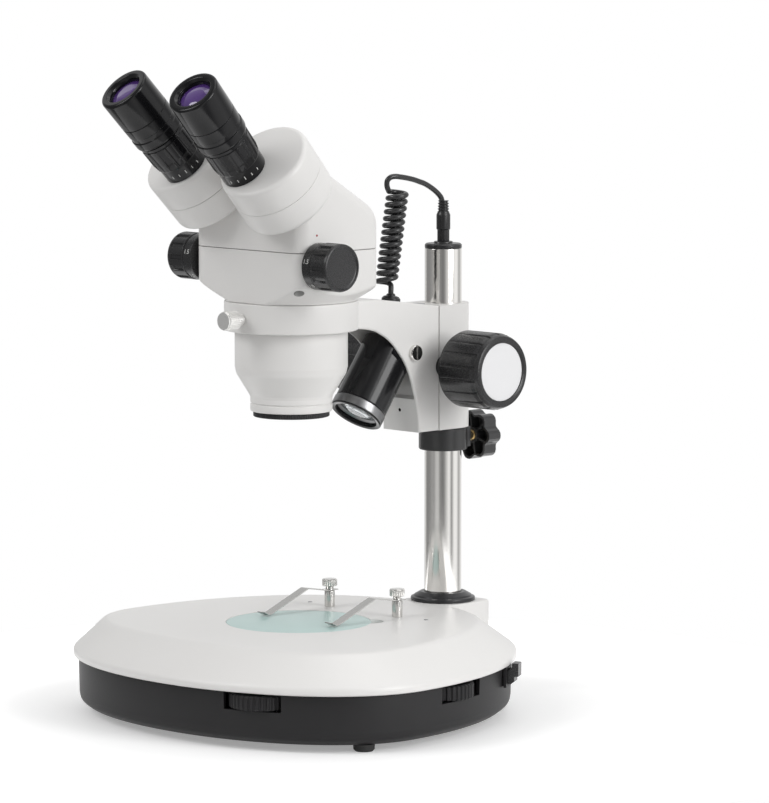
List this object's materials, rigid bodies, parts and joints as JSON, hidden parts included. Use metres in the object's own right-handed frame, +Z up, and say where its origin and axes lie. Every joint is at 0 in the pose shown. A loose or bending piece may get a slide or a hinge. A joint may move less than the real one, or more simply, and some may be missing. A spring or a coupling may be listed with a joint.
{
  "type": "stereo microscope",
  "caption": "Stereo zoom microscope on a round pillar stand: focusing arm with tilting spot lamp, turning head with two eyepieces, lit base with glass stage, dimmers and curly lamp cord.",
  "frame": {"origin": "bench level under the middle of the overall box; the optical axis is at y = -28 mm and the pillar axis at y = +114 mm", "axes": "+Z up, -Y towards the user, +X to the user's right"},
  "size_m": [0.296, 0.3092, 0.427],
  "materials": {
    "white_paint": "fine satin powder coat, very light warm grey",
    "black_plastic": "fine grained charcoal black",
    "cord_rubber": "smooth black cable jacket",
    "foot_rubber": "matt black",
    "plate_steel": "grey painted sheet",
    "bright_steel": "bright nickel plated",
    "pillar_steel": "turned and polished along the length",
    "black_metal": "black anodised, semi-gloss",
    "brass": "machined",
    "gloss_black": "polished black",
    "stage_glass": "frosted with a green edge",
    "optical_glass": "polished",
    "eye_glass": "violet coated",
    "cup_white": "matt white reflector",
    "board_green": "circuit board with black parts",
    "led_yellow": "board with yellow light chips",
    "disc_white": "white inlay"
  },
  "bodies": {
    "base": {"base_cover": "white_paint", "base_pan": "black_plastic", "bottom_plate": "plate_steel", "feet": "foot_rubber", "case_screws": "bright_steel", "stage_glass": "stage_glass", "clip_posts": "bright_steel", "light_cup": "cup_white", "driver_board": "board_green", "switch_frame": "black_plastic", "power_inlet": "black_plastic", "pillar": "pillar_steel", "pillar_flange": "black_metal", "pillar_cap": "black_plastic", "cord_plug": "black_plastic"},
    "clip_left": {"clip_blade_left": "bright_steel"},
    "clip_right": {"clip_blade_right": "bright_steel"},
    "front_wheel": {"front_dimmer": "black_plastic"},
    "side_wheel": {"side_dimmer": "black_plastic"},
    "rocker": {"switch_rocker": "black_plastic"},
    "collar": {"collar": "black_metal", "cord_arc_rear": "cord_rubber"},
    "clamp": {"clamp_knob": "black_plastic", "clamp_screw": "brass"},
    "carrier": {"carrier": "white_paint", "shaft_bushings": "black_metal", "cord_arc_front": "cord_rubber"},
    "focus_drive": {"pinion_shaft": "bright_steel", "focus_knob_right": "black_plastic", "focus_knob_left": "black_plastic", "focus_discs": "disc_white"},
    "arm": {"arm": "white_paint", "rack": "bright_steel", "cord_grommet": "black_plastic", "cord_tail": "cord_rubber", "cord_coil": "cord_rubber"},
    "ring_screw": {"ring_screw": "bright_steel"},
    "lamp": {"lamp_barrel": "black_metal", "lamp_ring": "black_metal", "lamp_lens": "optical_glass", "lamp_led": "led_yellow", "lamp_screws": "bright_steel"},
    "head": {"objective_barrel": "white_paint", "objective_ring": "black_metal", "objective_lens": "optical_glass", "head_lower": "white_paint", "head_upper": "white_paint"},
    "zoom_drive": {"zoom_shaft": "bright_steel", "zoom_knob_right": "black_plastic", "zoom_knob_left": "black_plastic"},
    "drum_right": {"prism_drum_right": "white_paint", "drum_cover_right": "white_paint"},
    "drum_left": {"prism_drum_left": "white_paint", "drum_cover_left": "white_paint"},
    "diopter_right": {"diopter_right": "gloss_black"},
    "diopter_left": {"diopter_left": "gloss_black"},
    "eyepiece_right": {"eyepiece_right": "gloss_black", "eye_lens_right": "eye_glass"},
    "eyepiece_left": {"eyepiece_left": "gloss_black", "eye_lens_left": "eye_glass"}
  },
  "joints": [
    {"name": "height_slide", "type": "slide", "parent": "base", "child": "collar", "axis": [0, 0, 1], "range_m": [-0.07, 0.03], "deforming": ["cord_arc_rear"]},
    {"name": "swivel", "type": "hinge", "parent": "collar", "child": "carrier", "pos_m": [0, 0.114, 0.18], "axis": [0, 0, 1], "range_deg": [-90, 90], "deforming": ["cord_arc_front"]},
    {"name": "focus_slide", "type": "slide", "parent": "carrier", "child": "arm", "axis": [0, 0, 1], "range_m": [-0.025, 0.025], "deforming": ["cord_coil"]},
    {"name": "focus_drive", "type": "hinge", "parent": "carrier", "child": "focus_drive", "pos_m": [0, 0.0967, 0.2235], "axis": [1, 0, 0], "range_deg": [-400, 400]},
    {"name": "clamp_turn", "type": "hinge", "parent": "collar", "child": "clamp", "pos_m": [0, 0.114, 0.172], "axis": [0, 1, 0], "range_deg": [0, 360]},
    {"name": "head_turn", "type": "hinge", "parent": "arm", "child": "head", "pos_m": [0, -0.028, 0.27], "axis": [0, 0, 1], "range_deg": [-90, 90]},
    {"name": "ring_screw_turn", "type": "hinge", "parent": "arm", "child": "ring_screw", "pos_m": [0, -0.078, 0.265], "axis": [0, -1, 0], "range_deg": [0, 360]},
    {"name": "lamp_tilt", "type": "hinge", "parent": "arm", "child": "lamp", "pos_m": [0, 0.0691, 0.2345], "axis": [1, 0, 0], "range_deg": [-12, 8]},
    {"name": "zoom_turn", "type": "hinge", "parent": "head", "child": "zoom_drive", "pos_m": [0, -0.0542, 0.3017], "axis": [1, 0, 0], "range_deg": [-100, 170]},
    {"name": "pupil_right", "type": "hinge", "parent": "head", "child": "drum_right", "pos_m": [0.0334, -0.0609, 0.3425], "axis": [0.075, -0.6877, 0.7221], "range_deg": [-22, 22]},
    {"name": "pupil_left", "type": "hinge", "parent": "head", "child": "drum_left", "pos_m": [-0.0334, -0.0609, 0.3425], "axis": [-0.075, -0.6877, 0.7221], "range_deg": [-22, 22]},
    {"name": "diopter_turn_right", "type": "hinge", "parent": "drum_right", "child": "diopter_right", "pos_m": [0.02723, -0.09544, 0.36398], "axis": [0.075, -0.6877, 0.7221], "range_deg": [-150, 150]},
    {"name": "eyepiece_pull_right", "type": "slide", "parent": "drum_right", "child": "eyepiece_right", "axis": [0.075, -0.6877, 0.7221], "range_m": [0, 0.03]},
    {"name": "diopter_turn_left", "type": "hinge", "parent": "drum_left", "child": "diopter_left", "pos_m": [-0.02723, -0.09544, 0.36398], "axis": [-0.075, -0.6877, 0.7221], "range_deg": [-150, 150]},
    {"name": "eyepiece_pull_left", "type": "slide", "parent": "drum_left", "child": "eyepiece_left", "axis": [-0.075, -0.6877, 0.7221], "range_m": [0, 0.03]},
    {"name": "clip_turn_left", "type": "hinge", "parent": "base", "child": "clip_left", "pos_m": [-0.032, 0.038, 0.0735], "axis": [0, 0, 1], "range_deg": [-60, 20]},
    {"name": "clip_turn_right", "type": "hinge", "parent": "base", "child": "clip_right", "pos_m": [0.032, 0.038, 0.0735], "axis": [0, 0, 1], "range_deg": [-20, 60]},
    {"name": "front_dimmer_turn", "type": "hinge", "parent": "base", "child": "front_wheel", "pos_m": [0.06931, -0.11999, 0.031], "axis": [0, 0, 1], "range_deg": [-135, 135]},
    {"name": "side_dimmer_turn", "type": "hinge", "parent": "base", "child": "side_wheel", "pos_m": [0.12304, -0.0145, 0.031], "axis": [0, 0, 1], "range_deg": [-135, 135]},
    {"name": "light_switch", "type": "hinge", "parent": "base", "child": "rocker", "pos_m": [0.1154, 0.05423, 0.0305], "axis": [-0.5145, 0.8575, 0], "range_deg": [-10, 10]}
  ],
  "couplings": [
    {"joint": "focus_drive", "follows": "focus_slide", "rad_per_m": -277.78},
    {"joint": "pupil_left", "follows": "pupil_right", "ratio": -1}
  ]
}
